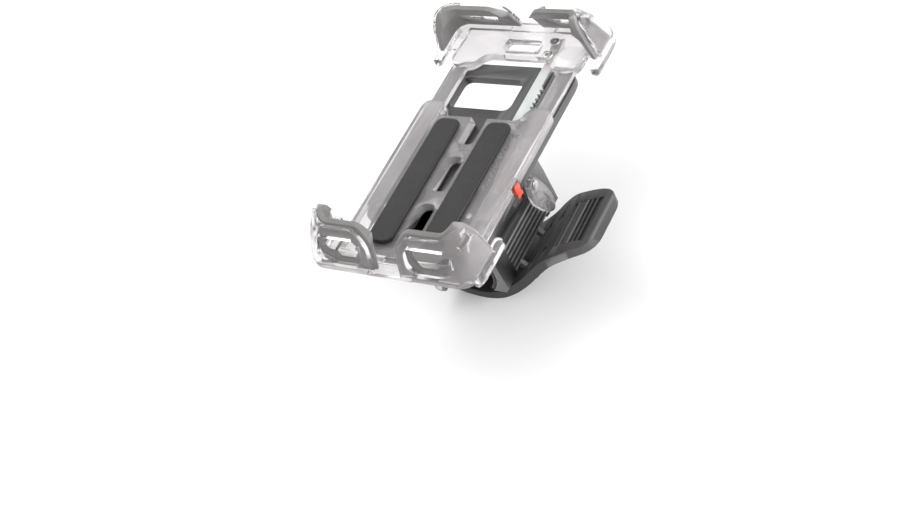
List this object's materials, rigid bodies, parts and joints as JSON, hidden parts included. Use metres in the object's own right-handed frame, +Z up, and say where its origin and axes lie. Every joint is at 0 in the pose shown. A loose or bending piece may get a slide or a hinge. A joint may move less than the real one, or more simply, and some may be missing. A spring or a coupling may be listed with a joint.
{
  "type": "bicycle phone mount",
  "caption": "Stem-strapped bicycle phone mount: clear telescoping cradle with corner grips on a swivel saddle, held by a ribbed rubber strap.",
  "frame": {"origin": "on the axis of the stem that the saddle sits on, straight below the swivel's axis", "axes": "+Z up out of the cradle, +Y along the stem towards the phone's top end, +X towards the strap's pull tab"},
  "size_m": [0.11, 0.1435, 0.0832],
  "materials": {
    "clear_plastic": "clear moulded polycarbonate, glossy",
    "black_nylon": "satin black moulding",
    "liner_rubber": "soft grey rubber",
    "strap_rubber": "dark grey silicone rubber",
    "red_plastic": "coral red moulding",
    "white_acetal": "natural acetal",
    "steel": "stainless steel"
  },
  "bodies": {
    "saddle": {"saddle_base": "black_nylon", "saddle_pad": "strap_rubber", "strap": "strap_rubber", "strap_pin": "steel", "glide_ring": "white_acetal", "lever_pin": "steel"},
    "lever": {"swivel_lever": "clear_plastic"},
    "brake": {"brake_block": "red_plastic"},
    "cradle": {"back_plate": "black_nylon", "swivel_hub": "black_nylon", "swivel_washer": "steel", "swivel_screw": "steel", "lower_frame": "clear_plastic", "pawl_pin": "steel", "plate_screw_1": "steel", "plate_screw_2": "steel", "plate_screw_3": "steel", "plate_screw_4": "steel", "liner_lower_left": "liner_rubber", "liner_lower_right": "liner_rubber", "bed_pad_left": "strap_rubber", "bed_pad_right": "strap_rubber"},
    "button": {"release_button": "red_plastic"},
    "pawl": {"pawl": "white_acetal", "pawl_spring": "steel"},
    "upper": {"upper_frame": "clear_plastic", "rack": "white_acetal", "rack_screw_1": "steel", "rack_screw_2": "steel", "liner_upper_left": "liner_rubber", "liner_upper_right": "liner_rubber"}
  },
  "joints": [
    {"name": "swivel", "type": "hinge", "parent": "saddle", "child": "cradle", "pos_m": [0, 0, 0.028], "axis": [0, 0, 1], "continuous": true},
    {"name": "extend", "type": "slide", "parent": "cradle", "child": "upper", "axis": [0, 1, 0], "range_m": [-0.02, 0.03]},
    {"name": "button_press", "type": "slide", "parent": "cradle", "child": "button", "axis": [-1, 0, 0], "range_m": [0, 0.0016], "stiffness_N_per_m": 400},
    {"name": "pawl_turn", "type": "hinge", "parent": "cradle", "child": "pawl", "pos_m": [0.0226, 0.008, 0.0312], "axis": [0, 0, 1], "range_deg": [-7.2, 0], "deforming": ["pawl_spring"]},
    {"name": "lever_turn", "type": "hinge", "parent": "saddle", "child": "lever", "pos_m": [0.0279, 0.0083, 0.0194], "axis": [1, 0, 0], "range_deg": [0, 75]},
    {"name": "brake_slide", "type": "slide", "parent": "saddle", "child": "brake", "axis": [1, 0, 0], "range_m": [0, 0.002]}
  ],
  "couplings": [
    {"joint": "pawl_turn", "follows": "button_press", "rad_per_m": -77},
    {"joint": "brake_slide", "follows": "lever_turn", "m_per_rad": 0.0015}
  ]
}
